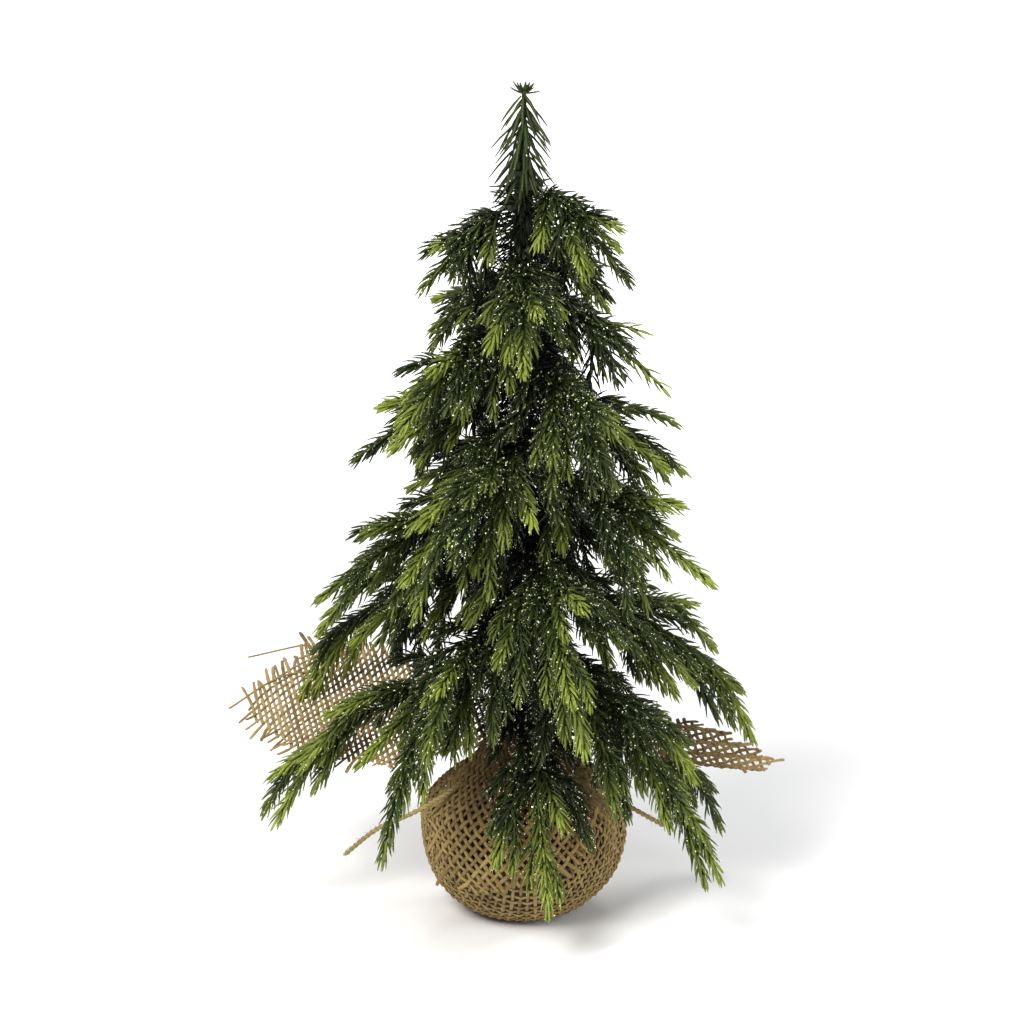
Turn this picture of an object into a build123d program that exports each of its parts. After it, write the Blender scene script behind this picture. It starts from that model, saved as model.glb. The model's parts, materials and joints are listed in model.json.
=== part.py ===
# Artificial tabletop tree: moulded needle sprigs on wire branches round a taped trunk,
# standing in a weighted pot wrapped in burlap and tied with twine.
# Millimetres. Origin at the centre of the resting face, +Z up, front toward -Y.
import math
import os

from build123d import *

# ---------------------------------------------------------------- driving dimensions

TOTAL_HEIGHT = 300.0

# burlap bag: a bowl-shaped belly through three points (radius, height), a straight side,
# a sloping shoulder and a gathered neck
BOWL_LOW = (16.0, 0.0)
BOWL_MIDDLE = (29.5, 9.5)
BOWL_HIGH = (37.0, 30.0)
CLOTH_THICKNESS = 1.2
SHOULDER_HEIGHT = 40.0
NECK_RADIUS = 12.0
NECK_INNER_RADIUS = 4.2
NECK_HEIGHT = 60.0
NECK_TOP = 70.5

# corners of the cloth folded down over the bag: (first azimuth, sweep)
FRONT_FOLD = (225.0, 75.0)
BACK_FOLD = (50.0, 70.0)
FOLD_GAP = 0.6
FOLD_BOTTOM = 21.0

# corners of the cloth standing out at the neck, as leaf outlines:
# (distance out, half width toward clockwise, half width toward anticlockwise)
FLAP_ROOT_HEIGHT = 69.0
LEFT_FLAP = {
    "azimuth": 157.0,
    "rise": 1.0,
    "bank": -26.0,
    "outline": ((8.0, 5.0, 5.0), (40.0, 16.0, 16.0), (75.0, 30.0, 28.0), (100.0, 14.0, 4.0)),
}
RIGHT_FLAP = {
    "azimuth": 8.0,
    "rise": -8.5,
    "bank": 25.0,
    "outline": ((8.0, 2.5, 5.0), (20.0, 3.0, 6.0), (45.0, 9.0, 9.0), (75.0, 9.0, 9.0), (94.0, 2.0, 2.0)),
}

# pot and weight
POT_GAP = 0.6
POT_FLOOR_HEIGHT = 1.7
POT_RIM_HEIGHT = 38.0
POT_WALL = 1.2
WEIGHT_GAP = 0.1
WEIGHT_TOP = 33.0
FIT_GAP = 0.05

# twine
TWINE_RADIUS = 0.75
TWINE_TURNS = 3
TWINE_PITCH = 1.3
TWINE_LOWEST_TURN = 61.6
KNOT_CENTRE = (0.0, -15.0, 62.2)
KNOT_RADIUS = 1.6
LEFT_TAIL = (
    KNOT_CENTRE,
    (-15.0, -13.5, 57.5),
    (-27.0, -22.0, 51.0),
    (-39.0, -24.0, 44.5),
    (-52.0, -20.0, 37.0),
    (-64.0, -17.0, 26.0),
)
RIGHT_TAIL = (
    KNOT_CENTRE,
    (15.0, -13.5, 57.5),
    (27.0, -21.0, 51.5),
    (38.0, -22.0, 46.0),
    (50.0, -19.0, 38.0),
)

# trunk
ROD_RADIUS = 2.5
ROD_BOTTOM = 6.0
ROD_TOP = 269.0
TAPE_RADIUS = 3.2
TAPE_BOTTOM = 36.0
TAPE_TOP = 270.5

# branch roots
PIVOT_RADIUS = 5.2
KNUCKLE_RADIUS = 0.85
KNUCKLE_LENGTH = 4.6
LUG_BORE_RADIUS = 0.93
LUG_RADIUS = 1.8
LUG_GAP = 2.2
LUG_THICKNESS = 1.1

# branches
BRANCH_COUNT = 25
GOLDEN_ANGLE = 137.508
FIRST_AZIMUTH = 262.0
LOWEST_ROOT = 84.0
HIGHEST_ROOT = 266.0
WIRE_RADIUS = 0.6
SIDE_WIRE_RADIUS = 0.5
STEM_RADIUS = 1.0
BORE_CLEARANCE = 0.06
BORE_DEPTH = 5.0
WIRE_IN_BORE = 4.0
STEM_TIP_LENGTH = 4.0
STEM_TIP_RADIUS = 0.35
CURL = 16.0
SIDE_CURL = 13.0

# Side sprigs of a branch: share of its length where the side wire forks off, turn to the
# side, extra droop, and length as a share of the branch length.
SIDE_FORKS = (
    (0.16, 34.0, 0.0, 0.58),
    (0.26, -34.0, 0.0, 0.54),
    (0.36, -28.0, 16.0, 0.44),
    (0.10, 64.0, 8.0, 0.44),
    (0.13, -64.0, 8.0, 0.42),
    (0.31, 14.0, -27.0, 0.40),
    (0.38, 40.0, 30.0, 0.36),
)
UNDER_DROOP_FROM = 5
LEAST_UNDER_DROOP = 0.7
MAIN_SPRIG_START = 0.49
SIDE_BARE_WIRE = 5.0

# Length and droop of a branch against how far up the trunk it roots: (share of height,
# branch length, droop of its root below level in degrees).
CROWN = (
    (0.00, 86.0, 36.0),
    (0.20, 92.0, 28.0),
    (0.40, 80.0, 20.0),
    (0.60, 68.0, 22.0),
    (0.80, 56.0, 30.0),
    (1.00, 50.0, 38.0),
)

# Hand-bent departures of single branches from the even spiral:
# branch number: (azimuth change, length factor, droop change)
BENT_BY_HAND = {
    0: (16.0, 0.98, 4.0),
    1: (-9.0, 1.12, -4.0),
    2: (8.0, 1.10, -12.0),
    3: (6.0, 1.10, 0.0),
    5: (6.0, 1.00, 0.0),
    7: (14.0, 1.05, 0.0),
    12: (6.0, 1.00, 0.0),
    23: (0.0, 0.82, 0.0),
    24: (0.0, 1.00, -10.0),
}

# Side sprigs left off where the burlap or another branch stands in their way:
# branch number: fork numbers
SIDES_LEFT_OFF = {
    0: (2, 3, 4, 6),
    1: (1, 4, 6),
    2: (1, 2, 4, 6),
    5: (1, 4),
}

# leader (the upright top shoot)
LEADER_PIVOT_HEIGHT = 273.0
LEADER_STEM_BOTTOM = 277.0
LEADER_WIRE_TOP = 286.0
LEADER_BORE_TOP = 287.0


def crown_at(share):
    """Length and root droop of a branch, read off the crown profile."""
    for low, high in zip(CROWN, CROWN[1:]):
        if share <= high[0] + 1e-9:
            t = (share - low[0]) / (high[0] - low[0])
            length = low[1] + t * (high[1] - low[1])
            droop = low[2] + t * (high[2] - low[2])
            return length, droop
    return CROWN[-1][1], CROWN[-1][2]


def arc_point(arc, distance):
    """Point at a distance along a drooping arc that stays in one upright plane."""
    radius = arc["length"] / math.radians(arc["curl"])
    first = math.radians(arc["droop"])
    last = first + distance / radius
    outward = radius * (math.sin(last) - math.sin(first))
    rise = radius * (math.cos(last) - math.cos(first))
    heading = math.radians(arc["azimuth"])
    x, y, z = arc["start"]
    return (x + outward * math.cos(heading), y + outward * math.sin(heading), z + rise)


def branch_plan(number):
    """Where one branch roots, which way it points, and the arcs of its wire and sprigs."""
    share = number / (BRANCH_COUNT - 1)
    turn, stretch, extra_droop = BENT_BY_HAND.get(number, (0.0, 1.0, 0.0))
    length, droop = crown_at(share)
    azimuth = (FIRST_AZIMUTH + GOLDEN_ANGLE * number + turn) % 360.0
    heading = math.radians(azimuth)
    root_height = LOWEST_ROOT + (HIGHEST_ROOT - LOWEST_ROOT) * share
    root = (PIVOT_RADIUS * math.cos(heading), PIVOT_RADIUS * math.sin(heading), root_height)
    main = {
        "start": root,
        "azimuth": azimuth,
        "droop": droop + extra_droop,
        "curl": CURL,
        "length": length * stretch,
    }
    left_off = SIDES_LEFT_OFF.get(number, ())
    sides = []
    low_on_trunk = max(LEAST_UNDER_DROOP, min(1.0, (number + 1) / UNDER_DROOP_FROM))
    for fork, (along, side_turn, side_droop, side_length) in enumerate(SIDE_FORKS):
        if fork in left_off:
            continue
        side_droop *= low_on_trunk
        sides.append({
            "start": arc_point(main, along * main["length"]),
            "azimuth": azimuth + side_turn,
            "droop": main["droop"] + CURL * along + side_droop,
            "curl": SIDE_CURL,
            "length": main["length"] * side_length,
        })
    return {"root": root, "azimuth": azimuth, "main": main, "sides": sides}
# ---- end of layout


# ---------------------------------------------------------------- round-section helpers

def arc_tube(arc, first, last, radius):
    """Round bar along part of a drooping arc."""
    middle = (first + last) / 2.0
    path = ThreePointArc(arc_point(arc, first), arc_point(arc, middle), arc_point(arc, last))
    return sweep(arc_plane(arc, first) * Circle(radius), path=path)


def arc_plane(arc, distance):
    """Plane square to a drooping arc at a distance along it."""
    droop = math.radians(arc["droop"] + arc["curl"] * distance / arc["length"])
    heading = math.radians(arc["azimuth"])
    level = math.cos(droop)
    onward = (level * math.cos(heading), level * math.sin(heading), -math.sin(droop))
    sideways = (-math.sin(heading), math.cos(heading), 0.0)
    return Plane(origin=arc_point(arc, distance), x_dir=sideways, z_dir=onward)


def bar_between(start, end, radius):
    """Straight round bar with one ball end, for cord and wire bent by hand."""
    axis = Vector(*end) - Vector(*start)
    plane = Plane(origin=Vector(*start), z_dir=axis)
    bar = plane * Cylinder(radius, axis.length, align=(Align.CENTER, Align.CENTER, Align.MIN))
    return bar + Pos(*end) * Sphere(radius)


def rope(points, radius):
    """Round cord or wire through a row of points."""
    cord = bar_between(points[0], points[1], radius)
    for start, end in zip(points[1:], points[2:]):
        cord += bar_between(start, end, radius)
    return cord


# ---------------------------------------------------------------- base

def bowl_circle():
    """Centre and radius of the circle through the three bowl points."""
    (x1, z1), (x2, z2), (x3, z3) = BOWL_LOW, BOWL_MIDDLE, BOWL_HIGH
    d = 2.0 * (x1 * (z2 - z3) + x2 * (z3 - z1) + x3 * (z1 - z2))
    s1, s2, s3 = x1 * x1 + z1 * z1, x2 * x2 + z2 * z2, x3 * x3 + z3 * z3
    x = (s1 * (z2 - z3) + s2 * (z3 - z1) + s3 * (z1 - z2)) / d
    z = (s1 * (x3 - x2) + s2 * (x1 - x3) + s3 * (x2 - x1)) / d
    return x, z, math.hypot(x1 - x, z1 - z)


def bowl_radius(height, inset):
    """Radius of the bowl at a height, for a surface set in from the outside of the cloth."""
    x, z, radius = bowl_circle()
    return x + math.sqrt((radius - inset) ** 2 - (height - z) ** 2)


def bowl_arc(bottom, top, inset):
    """Profile arc of the bowl between two heights."""
    middle = (bottom + top) / 2.0
    return ThreePointArc(
        (bowl_radius(bottom, inset), 0.0, bottom),
        (bowl_radius(middle, inset), 0.0, middle),
        (bowl_radius(top, inset), 0.0, top),
    )


def turned(edges, first_azimuth=0.0, sweep_angle=360.0):
    """Solid of revolution about the trunk from a closed profile."""
    face = make_face(edges)
    solid = revolve(face, axis=Axis.Z, revolution_arc=sweep_angle)
    return Rot(0.0, 0.0, first_azimuth) * solid


def profile_line(*corners):
    """Open profile of straight lines through (radius, height) corners."""
    return Polyline(*[(r, 0.0, z) for r, z in corners])


def build_bag():
    """Cloth bag: bowl, side, shoulder and gathered neck."""
    belly = BOWL_HIGH[1]
    inner = CLOTH_THICKNESS
    inner_side = bowl_radius(belly, inner)
    edges = [
        bowl_arc(0.0, belly, 0.0),
        profile_line(
            (bowl_radius(belly, 0.0), belly),
            (bowl_radius(belly, 0.0), SHOULDER_HEIGHT),
            (NECK_RADIUS, NECK_HEIGHT),
            (NECK_RADIUS, NECK_TOP),
            (NECK_INNER_RADIUS, NECK_TOP),
            (NECK_INNER_RADIUS, NECK_HEIGHT - inner),
            (NECK_RADIUS - inner, NECK_HEIGHT - inner),
            (inner_side, SHOULDER_HEIGHT - inner),
            (inner_side, belly),
        ),
        bowl_arc(inner, belly, inner),
        profile_line(
            (bowl_radius(inner, inner), inner),
            (0.0, inner),
            (0.0, 0.0),
            (bowl_radius(0.0, 0.0), 0.0),
        ),
    ]
    return turned(edges)


def build_fold(first_azimuth, sweep_angle):
    """Corner of the cloth folded down from the neck over the shoulder and side."""
    belly = BOWL_HIGH[1]
    under = -FOLD_GAP
    over = -FOLD_GAP - CLOTH_THICKNESS
    root_radius = NECK_RADIUS - CLOTH_THICKNESS
    edges = [
        bowl_arc(FOLD_BOTTOM, belly, over),
        profile_line(
            (bowl_radius(belly, over), belly),
            (bowl_radius(belly, over), SHOULDER_HEIGHT + CLOTH_THICKNESS),
            (NECK_RADIUS, NECK_TOP),
            (root_radius, NECK_TOP),
            (root_radius, NECK_TOP - CLOTH_THICKNESS),
            (NECK_RADIUS, NECK_TOP - CLOTH_THICKNESS),
            (bowl_radius(belly, under), SHOULDER_HEIGHT + FOLD_GAP),
            (bowl_radius(belly, under), belly),
        ),
        bowl_arc(FOLD_BOTTOM, belly, under),
        profile_line(
            (bowl_radius(FOLD_BOTTOM, under), FOLD_BOTTOM),
            (bowl_radius(FOLD_BOTTOM, over), FOLD_BOTTOM),
        ),
    ]
    return turned(edges, first_azimuth, sweep_angle)


def build_flap(flap):
    """Corner of the cloth standing out flat from the neck."""
    out = Rot(0.0, 0.0, flap["azimuth"]) * Rot(0.0, -flap["rise"], 0.0) * Rot(flap["bank"], 0.0, 0.0)
    place = Pos(0.0, 0.0, FLAP_ROOT_HEIGHT) * out
    near_side = [(x, -low) for x, low, high in flap["outline"]]
    far_side = [(x, high) for x, low, high in reversed(flap["outline"])]
    leaf = make_face(Polyline(*near_side, *far_side, near_side[0]))
    return place * Pos(0.0, 0.0, -CLOTH_THICKNESS / 2.0) * extrude(leaf, CLOTH_THICKNESS)


def build_burlap():
    """Whole cloth as one piece."""
    burlap = build_bag()
    burlap += build_fold(*FRONT_FOLD)
    burlap += build_fold(*BACK_FOLD)
    for flap in (LEFT_FLAP, RIGHT_FLAP):
        burlap += build_flap(flap)
    trunk_space = Cylinder(NECK_INNER_RADIUS, 2.0 * TOTAL_HEIGHT)
    above_floor = Pos(0.0, 0.0, CLOTH_THICKNESS + TOTAL_HEIGHT) * trunk_space
    return burlap - above_floor


def build_pot():
    """Thin plastic cup under the cloth."""
    belly = BOWL_HIGH[1]
    outer = CLOTH_THICKNESS + POT_GAP
    inner = outer + POT_WALL
    floor_top = POT_FLOOR_HEIGHT + POT_WALL
    edges = [
        bowl_arc(POT_FLOOR_HEIGHT, belly, outer),
        profile_line(
            (bowl_radius(belly, outer), belly),
            (bowl_radius(belly, outer), POT_RIM_HEIGHT),
            (bowl_radius(belly, inner), POT_RIM_HEIGHT),
            (bowl_radius(belly, inner), belly),
        ),
        bowl_arc(floor_top, belly, inner),
        profile_line(
            (bowl_radius(floor_top, inner), floor_top),
            (0.0, floor_top),
            (0.0, POT_FLOOR_HEIGHT),
            (bowl_radius(POT_FLOOR_HEIGHT, outer), POT_FLOOR_HEIGHT),
        ),
    ]
    return turned(edges)


def build_weight():
    """Plaster plug cast in the pot, with the bore the trunk stands in."""
    belly = BOWL_HIGH[1]
    inset = CLOTH_THICKNESS + POT_GAP + POT_WALL + WEIGHT_GAP
    bottom = POT_FLOOR_HEIGHT + POT_WALL + WEIGHT_GAP
    bore = ROD_RADIUS + FIT_GAP
    edges = [
        bowl_arc(bottom, belly, inset),
        profile_line(
            (bowl_radius(belly, inset), belly),
            (bowl_radius(belly, inset), WEIGHT_TOP),
            (bore, WEIGHT_TOP),
            (bore, ROD_BOTTOM - FIT_GAP),
            (0.0, ROD_BOTTOM - FIT_GAP),
            (0.0, bottom),
            (bowl_radius(bottom, inset), bottom),
        ),
    ]
    return turned(edges)


def build_twine():
    """Jute twine: turns round the neck, a knot in front and two loose tails."""
    turn_radius = NECK_RADIUS + TWINE_RADIUS + FIT_GAP
    twine = Pos(*KNOT_CENTRE) * Sphere(KNOT_RADIUS)
    for turn in range(TWINE_TURNS):
        height = TWINE_LOWEST_TURN + turn * TWINE_PITCH
        twine += Pos(0.0, 0.0, height) * Torus(turn_radius, TWINE_RADIUS)
    twine += rope(LEFT_TAIL, TWINE_RADIUS)
    twine += rope(RIGHT_TAIL, TWINE_RADIUS)
    return twine


# ---------------------------------------------------------------- trunk

def build_rod():
    """Steel trunk rod."""
    return Pos(0.0, 0.0, (ROD_BOTTOM + ROD_TOP) / 2.0) * Cylinder(ROD_RADIUS, ROD_TOP - ROD_BOTTOM)


def lug_pair(reach):
    """Two ears on the x axis with a bore across them, out from the trunk centre line."""
    pair = None
    for side in (-1.0, 1.0):
        middle = side * (LUG_GAP + LUG_THICKNESS) / 2.0
        web = Box(reach, LUG_THICKNESS, 2.0 * LUG_RADIUS, align=(Align.MIN, Align.CENTER, Align.CENTER))
        eye = Pos(reach, 0.0, 0.0) * Rot(90.0, 0.0, 0.0) * Cylinder(LUG_RADIUS, LUG_THICKNESS)
        ear = Pos(0.0, middle, 0.0) * (web + eye)
        pair = ear if pair is None else pair + ear
    bore = Pos(reach, 0.0, 0.0) * Rot(90.0, 0.0, 0.0) * Cylinder(LUG_BORE_RADIUS, 2.0 * KNUCKLE_LENGTH)
    return pair - bore


def build_tape(plans):
    """Tape wound on the rod, with a bound lug at every branch root and at the leader."""
    tape = Pos(0.0, 0.0, (TAPE_BOTTOM + TAPE_TOP) / 2.0) * Cylinder(TAPE_RADIUS, TAPE_TOP - TAPE_BOTTOM)
    for plan in plans:
        height = plan["root"][2]
        tape += Pos(0.0, 0.0, height) * Rot(0.0, 0.0, plan["azimuth"]) * lug_pair(PIVOT_RADIUS)
    rise = LEADER_PIVOT_HEIGHT - TAPE_TOP
    upright = Pos(0.0, 0.0, TAPE_TOP) * Rot(0.0, 0.0, 90.0) * Rot(0.0, -90.0, 0.0)
    tape += upright * lug_pair(rise)
    rod_height = ROD_TOP + FIT_GAP - TAPE_BOTTOM
    rod_space = Cylinder(ROD_RADIUS + FIT_GAP, rod_height, align=(Align.CENTER, Align.CENTER, Align.MIN))
    return tape - Pos(0.0, 0.0, TAPE_BOTTOM) * rod_space


def knuckle(plan):
    """Bend of the wire held in the lugs: a short pin across the branch."""
    place = Pos(*plan["root"]) * Rot(0.0, 0.0, plan["azimuth"]) * Rot(90.0, 0.0, 0.0)
    return place * Cylinder(KNUCKLE_RADIUS, KNUCKLE_LENGTH)


# ---------------------------------------------------------------- branches

def build_sprig(arc, start, wire_radius):
    """One moulded sprig stem with a blind bore for the wire."""
    shoulder = arc["length"] - STEM_TIP_LENGTH
    stem = arc_tube(arc, start, shoulder, STEM_RADIUS)
    stem -= arc_tube(arc, start - FIT_GAP, start + BORE_DEPTH, wire_radius + BORE_CLEARANCE)
    tip = Cone(STEM_RADIUS, STEM_TIP_RADIUS, STEM_TIP_LENGTH, align=(Align.CENTER, Align.CENTER, Align.MIN))
    return stem + arc_plane(arc, shoulder) * tip


def build_branch_wire(plan):
    """Forked wire core of a branch, from the knuckle to inside every sprig."""
    main = plan["main"]
    main_end = MAIN_SPRIG_START * main["length"] + WIRE_IN_BORE
    wire = knuckle(plan) + arc_tube(main, 0.0, main_end, WIRE_RADIUS)
    for side in plan["sides"]:
        wire += arc_tube(side, 0.0, SIDE_BARE_WIRE + WIRE_IN_BORE, SIDE_WIRE_RADIUS)
    return wire


def build_branch_sprigs(plan):
    """All sprigs of a branch, as separate mouldings."""
    main = plan["main"]
    sprigs = [build_sprig(main, MAIN_SPRIG_START * main["length"], WIRE_RADIUS)]
    for side in plan["sides"]:
        sprigs.append(build_sprig(side, SIDE_BARE_WIRE, SIDE_WIRE_RADIUS))
    return sprigs


def build_leader_wire():
    """Wire of the top shoot, with its knuckle across x."""
    pin = Rot(0.0, 90.0, 0.0) * Cylinder(KNUCKLE_RADIUS, KNUCKLE_LENGTH)
    rise = LEADER_WIRE_TOP - LEADER_PIVOT_HEIGHT
    wire = Cylinder(WIRE_RADIUS, rise, align=(Align.CENTER, Align.CENTER, Align.MIN))
    return Pos(0.0, 0.0, LEADER_PIVOT_HEIGHT) * (pin + wire)


def build_leader_sprig():
    """Upright top shoot with a blind bore for its wire."""
    upright = (Align.CENTER, Align.CENTER, Align.MIN)
    shoulder = TOTAL_HEIGHT - STEM_TIP_LENGTH - LEADER_STEM_BOTTOM
    stem = Cylinder(STEM_RADIUS, shoulder, align=upright)
    stem += Pos(0.0, 0.0, shoulder) * Cone(STEM_RADIUS, STEM_TIP_RADIUS, STEM_TIP_LENGTH, align=upright)
    stem -= Cylinder(WIRE_RADIUS + BORE_CLEARANCE, LEADER_BORE_TOP - LEADER_STEM_BOTTOM, align=upright)
    return Pos(0.0, 0.0, LEADER_STEM_BOTTOM) * stem


# ---------------------------------------------------------------- write every piece

def write_piece(name, shape):
    export_step(shape, "parts/" + name + ".step")


os.makedirs("parts", exist_ok=True)
all_plans = [branch_plan(number) for number in range(BRANCH_COUNT)]
write_piece("burlap_wrap", build_burlap())
write_piece("pot", build_pot())
write_piece("base_weight", build_weight())
write_piece("twine", build_twine())
write_piece("trunk_rod", build_rod())
write_piece("trunk_tape", build_tape(all_plans))
write_piece("leader_wire", build_leader_wire())
write_piece("leader_sprig", build_leader_sprig())
for number, plan in enumerate(all_plans):
    label = "%02d" % (number + 1)
    write_piece("branch_wire_" + label, build_branch_wire(plan))
    write_piece("sprigs_" + label, Compound(children=build_branch_sprigs(plan)))
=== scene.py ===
import json
import math

import bpy
import numpy as np
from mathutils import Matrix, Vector


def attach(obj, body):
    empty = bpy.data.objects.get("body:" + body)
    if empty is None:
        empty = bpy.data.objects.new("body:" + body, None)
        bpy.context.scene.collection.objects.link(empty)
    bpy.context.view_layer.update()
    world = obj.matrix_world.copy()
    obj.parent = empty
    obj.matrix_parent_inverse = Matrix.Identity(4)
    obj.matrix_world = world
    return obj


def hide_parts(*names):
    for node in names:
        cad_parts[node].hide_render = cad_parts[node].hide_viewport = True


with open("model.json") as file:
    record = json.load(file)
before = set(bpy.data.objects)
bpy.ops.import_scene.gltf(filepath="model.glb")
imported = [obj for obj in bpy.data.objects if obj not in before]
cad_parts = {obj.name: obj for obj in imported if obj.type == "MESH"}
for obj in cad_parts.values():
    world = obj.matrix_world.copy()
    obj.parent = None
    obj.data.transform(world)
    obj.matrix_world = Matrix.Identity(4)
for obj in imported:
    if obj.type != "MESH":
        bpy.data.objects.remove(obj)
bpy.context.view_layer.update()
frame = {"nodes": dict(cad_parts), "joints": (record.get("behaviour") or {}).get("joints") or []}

MM = 0.001
SEED = 20
GOLDEN = math.radians(137.508)
UP = np.array((0.0, 0.0, 1.0))

# ---- mesh building


def unit(vectors):
    """Rows scaled to length one."""
    size = np.linalg.norm(vectors, axis=-1, keepdims=True)
    return vectors / np.maximum(size, 1e-9)


def turned(radius, turn, height):
    """Points at the given radii, turns about the trunk's axis and heights."""
    return np.stack([radius * np.cos(turn), radius * np.sin(turn), height], axis=-1)


def spokes(turn):
    """Level directions at the given turns about the trunk."""
    return turned(1.0, turn, np.zeros_like(turn))


def tilted(across, along, angle):
    """Directions that open by an angle from along toward across."""
    return np.cos(angle)[:, None] * along + np.sin(angle)[:, None] * across


def stem_sides(onward):
    """Level and upright directions square to rows of stem directions."""
    normal = unit(np.cross(np.cross(onward, UP), onward))
    return np.cross(onward, normal), normal


def sample_rows(places, marks, rows):
    """Rows of values, known at the marks, read between them at the given places."""
    return np.stack([np.interp(places, marks, column) for column in rows.T], axis=-1)


def run_lengths(points):
    """Distance along a path at each of its points."""
    return np.concatenate([[0.0], np.cumsum(np.linalg.norm(np.diff(points, axis=0), axis=1))])


class Piece:
    """Collects vertices (mm), faces, face materials and per-vertex values for one mesh."""

    def __init__(self, value_names):
        self.names = value_names
        self.vertices = []
        self.faces = []
        self.slots = []
        self.values = {name: [] for name in value_names}
        self.count = 0

    def add(self, vertices, faces, slot, **values):
        vertices = np.asarray(vertices, float).reshape(-1, 3)
        self.vertices.append(vertices)
        for block in faces:
            block = np.asarray(block, int) + self.count
            self.faces.extend(block.tolist())
            self.slots.extend([slot] * len(block))
        for name in self.names:
            value = np.broadcast_to(values.get(name, 0.0), (len(vertices),))
            self.values[name].append(value)
        self.count += len(vertices)

    def add_tube(self, points, up, half_width, half_thickness, sides, caps=(0, 1), **values):
        """One tube along points, with values per point. Yarns also get their lengthwise values."""
        count = len(points)
        if "along" in self.names:
            values["along"] = run_lengths(points)
        spread = {name: np.repeat(np.broadcast_to(v, (count,)), sides) for name, v in values.items()}
        if "around" in self.names:
            spread["around"] = np.tile(np.arange(sides) / sides, count)
        faces = [tube_faces(count, sides), end_caps(count, sides)[list(caps)]]
        self.add(flat_tube(points, up, half_width, half_thickness, sides), faces, 0, **spread)

    def build(self, name, materials, body, slot_name, replaces=None):
        """Makes the object, in metres, riding on a CAD body."""
        mesh = bpy.data.meshes.new(name)
        vertices = np.vstack(self.vertices) * MM
        mesh.from_pydata(vertices.tolist(), [], self.faces)
        for material in materials:
            mesh.materials.append(material)
        mesh.polygons.foreach_set("material_index", np.array(self.slots, np.int32))
        mesh.polygons.foreach_set("use_smooth", np.ones(len(self.faces), bool))
        for value_name in self.names:
            attribute = mesh.attributes.new(value_name, "FLOAT", "POINT")
            data = np.concatenate(self.values[value_name]).astype(np.float32)
            attribute.data.foreach_set("value", data)
        mesh.update()
        thing = bpy.data.objects.new(name, mesh)
        bpy.context.scene.collection.objects.link(thing)
        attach(thing, body)
        if replaces:
            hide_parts(replaces)
        return thing


def tube_faces(rings, sides):
    """Quads of an open tube whose vertices are ordered ring by ring."""
    ring = np.arange(rings - 1)[:, None]
    side = np.arange(sides)[None, :]
    following = (side + 1) % sides
    a = ring * sides + side
    b = ring * sides + following
    c = (ring + 1) * sides + following
    d = (ring + 1) * sides + side
    return np.stack([a, b, c, d], axis=-1).reshape(-1, 4)


def end_caps(rings, sides):
    """Faces that close the first and the last ring of a tube."""
    side = np.arange(sides)
    return np.vstack([side[::-1], (rings - 1) * sides + side])


def path_frames(points, up):
    """Tangent, side and normal directions along a path; up is a rough normal."""
    tangent = unit(np.gradient(points, axis=-2))
    side = unit(np.cross(up, tangent))
    return tangent, side, np.cross(tangent, side)


def flat_tube(points, up, half_width, half_thickness, sides):
    """Vertices of a tube with a flattened section along one path."""
    side, normal = path_frames(points, up)[1:]
    angle = np.arange(sides) * 2.0 * math.pi / sides
    across = np.cos(angle)[None, :, None] * side[:, None, :] * np.reshape(half_width, (-1, 1, 1))
    through = np.sin(angle)[None, :, None] * normal[:, None, :] * np.reshape(half_thickness, (-1, 1, 1))
    return (points[:, None, :] + across + through).reshape(-1, 3)


# ---- materials


class Nodes:
    """Short way to build a node material."""

    def __init__(self, name):
        self.material = bpy.data.materials.new(name)
        self.material.use_nodes = True
        self.tree = self.material.node_tree
        self.shader = self.tree.nodes["Principled BSDF"]

    def fill(self, socket, value):
        """Gives a socket a number or a colour, or links it to a node's output."""
        if isinstance(value, (int, float)):
            socket.default_value = value
        elif isinstance(value, tuple):
            socket.default_value = (*value, 1.0)
        else:
            self.tree.links.new(value, socket)

    def node(self, kind, inputs=None, **settings):
        made = self.tree.nodes.new(kind)
        for key, value in settings.items():
            setattr(made, key, value)
        for key, value in (inputs or {}).items():
            self.fill(made.inputs[key], value)
        return made

    def set(self, **values):
        """Fills the shader's sockets."""
        for key, value in values.items():
            self.fill(self.shader.inputs[key.replace("_", " ")], value)

    def attribute(self, name):
        return self.node("ShaderNodeAttribute", attribute_name=name).outputs["Fac"]

    def position(self):
        return self.node("ShaderNodeTexCoord").outputs["Object"]

    def noise(self, vector, scale, detail=3.0, roughness=0.5):
        inputs = {"Vector": vector, "Scale": scale, "Detail": detail, "Roughness": roughness}
        return self.node("ShaderNodeTexNoise", inputs).outputs["Fac"]

    def math(self, operation, a, b=0.0):
        return self.node("ShaderNodeMath", {0: a, 1: b}, operation=operation).outputs["Value"]

    def scaled(self, value, factor, offset):
        return self.math("ADD", self.math("MULTIPLY", value, factor), offset)

    def weighted(self, *pairs):
        """Sum of (value, weight) pairs."""
        parts = [self.math("MULTIPLY", value, weight) for value, weight in pairs]
        total = parts[0]
        for part in parts[1:]:
            total = self.math("ADD", total, part)
        return total

    def mix(self, share, a, b):
        """Colour blend. The node repeats its sockets for each data type, so they go by number."""
        return self.node("ShaderNodeMix", {0: share, 6: a, 7: b}, data_type="RGBA").outputs[2]

    def ramp(self, value, stops):
        made = self.node("ShaderNodeValToRGB", {"Fac": value})
        elements = made.color_ramp.elements
        while len(elements) < len(stops):
            elements.new(0.5)
        for element, (place, colour) in zip(elements, stops):
            element.position = place
            element.color = (*colour, 1.0)
        return made.outputs["Color"]

    def bump(self, height, strength, distance):
        made = self.node("ShaderNodeBump", {"Strength": strength, "Distance": distance, "Height": height})
        self.set(Normal=made.outputs["Normal"])


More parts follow.
